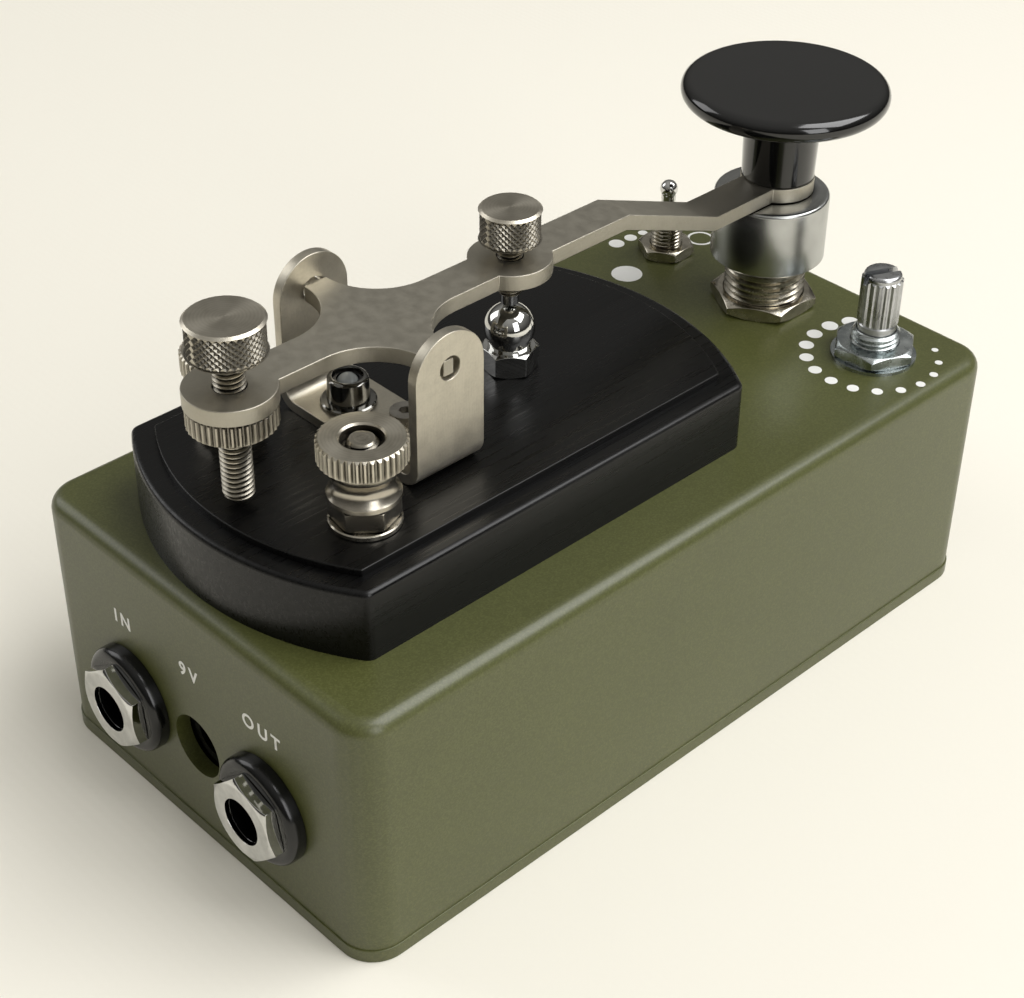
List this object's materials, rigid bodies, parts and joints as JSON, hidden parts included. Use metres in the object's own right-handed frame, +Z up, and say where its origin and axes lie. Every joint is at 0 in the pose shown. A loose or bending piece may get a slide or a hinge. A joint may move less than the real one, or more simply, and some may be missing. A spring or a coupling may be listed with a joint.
{
  "type": "effect box with telegraph key",
  "caption": "Olive painted metal effect box with a straight telegraph key, push switch, toggle, control shaft and jacks on one end.",
  "frame": {"origin": "on the resting face, under the middle of the case", "axes": "+Z up, -Y towards the jack end, +Y towards the knob end, +X towards the side with the potentiometer"},
  "size_m": [0.0664, 0.1277, 0.0765],
  "materials": {
    "case_paint": "olive green paint with fine sparkle, satin",
    "black_base": "satin black",
    "steel": "satin stainless",
    "nickel": "nickel plate",
    "chrome": "bright",
    "silver": "silver contact",
    "zinc": "blue zinc plate",
    "dark_steel": "black oxide",
    "aluminium": "turned",
    "knob_black": "gloss",
    "black_plastic": "moulded",
    "led_clear": "clear lens",
    "contact_brass": "tinned brass",
    "board_green": "solder mask",
    "nylon": "nylon",
    "chip_black": "moulded",
    "sleeve_blue": "shrink sleeve",
    "resistor_tan": "lacquer",
    "wire_blue": "insulation",
    "wire_red": "insulation",
    "wire_yellow": "insulation",
    "wire_orange": "insulation"
  },
  "bodies": {
    "case": {"case_shell": "case_paint", "bottom_lid": "case_paint", "lid_screws": "dark_steel", "key_base": "black_base", "base_screws": "steel", "pivot_bracket": "nickel", "bracket_screws": "steel", "led_bezel": "chrome", "led": "led_clear", "dome_nut": "chrome", "dome_stud": "steel", "stud_nut": "nickel", "switch_body": "nickel", "switch_nut": "nickel", "switch_spring": "steel", "switch_lugs": "contact_brass", "toggle_body": "nickel", "toggle_nut": "nickel", "toggle_lugs": "contact_brass", "pot_body": "nickel", "pot_nut": "zinc", "pot_washer": "zinc", "pot_pins": "contact_brass", "input_jack": "black_plastic", "output_jack": "black_plastic", "jack_washers": "black_plastic", "jack_nuts": "chrome", "jack_contacts": "contact_brass", "power_jack": "black_plastic", "power_pin": "nickel", "left_post": "nickel", "right_post": "nickel", "post_washers": "nickel", "post_nuts": "nickel", "circuit_board": "board_green", "standoffs": "nylon", "board_screws": "steel", "chips": "chip_black", "capacitors": "sleeve_blue", "resistors": "resistor_tan", "signal_wires": "wire_blue", "power_wires": "wire_red", "control_wires": "wire_yellow", "key_wires": "wire_orange"},
    "lever": {"key_lever": "steel", "knob": "knob_black", "knob_screw": "steel"},
    "rear_thumbscrew": {"rear_screw": "nickel"},
    "rear_nut": {"rear_lock_nut": "nickel"},
    "contact_thumbscrew": {"contact_screw": "nickel", "contact_tip": "silver"},
    "plunger": {"switch_cap": "aluminium", "switch_plunger": "steel"},
    "toggle": {"toggle_lever": "chrome"},
    "shaft": {"pot_shaft": "aluminium"},
    "left_nut": {"left_thumb_nut": "nickel"},
    "right_nut": {"right_thumb_nut": "nickel"}
  },
  "joints": [
    {"name": "key_press", "type": "hinge", "parent": "case", "child": "lever", "pos_m": [0, -0.0285, 0.0661], "axis": [-1, 0, 0], "range_deg": [0, 1], "stiffness_Nm_per_rad": 1, "springref_deg": -3.44},
    {"name": "rear_screw_turn", "type": "hinge", "parent": "lever", "child": "rear_thumbscrew", "pos_m": [0, -0.0509, 0.0661], "axis": [0, 0, 1], "range_deg": [-180, 180]},
    {"name": "rear_nut_turn", "type": "hinge", "parent": "lever", "child": "rear_nut", "pos_m": [0, -0.0509, 0.0634], "axis": [0, 0, 1], "range_deg": [-180, 180]},
    {"name": "contact_screw_turn", "type": "hinge", "parent": "lever", "child": "contact_thumbscrew", "pos_m": [0, -0.0058, 0.0661], "axis": [0, 0, 1], "range_deg": [-180, 180]},
    {"name": "switch_push", "type": "slide", "parent": "case", "child": "plunger", "axis": [0, 0, -1], "range_m": [0, 0.0014], "stiffness_N_per_m": 40, "springref_m": -0.002, "deforming": ["switch_spring"]},
    {"name": "toggle_flip", "type": "hinge", "parent": "case", "child": "toggle", "pos_m": [-0.02, 0.0472, 0.0407], "axis": [1, 0, 0], "range_deg": [-12, 12]},
    {"name": "control_turn", "type": "hinge", "parent": "case", "child": "shaft", "pos_m": [0.0212, 0.0472, 0.045], "axis": [0, 0, 1], "range_deg": [-150, 150]},
    {"name": "left_nut_turn", "type": "hinge", "parent": "case", "child": "left_nut", "pos_m": [-0.0133, -0.0422, 0.061], "axis": [0, 0, 1], "range_deg": [-180, 180]},
    {"name": "right_nut_turn", "type": "hinge", "parent": "case", "child": "right_nut", "pos_m": [0.0133, -0.0422, 0.061], "axis": [0, 0, 1], "range_deg": [-180, 180]}
  ],
  "couplings": [
    {"joint": "switch_push", "follows": "key_press", "m_per_rad": 0.0785}
  ]
}
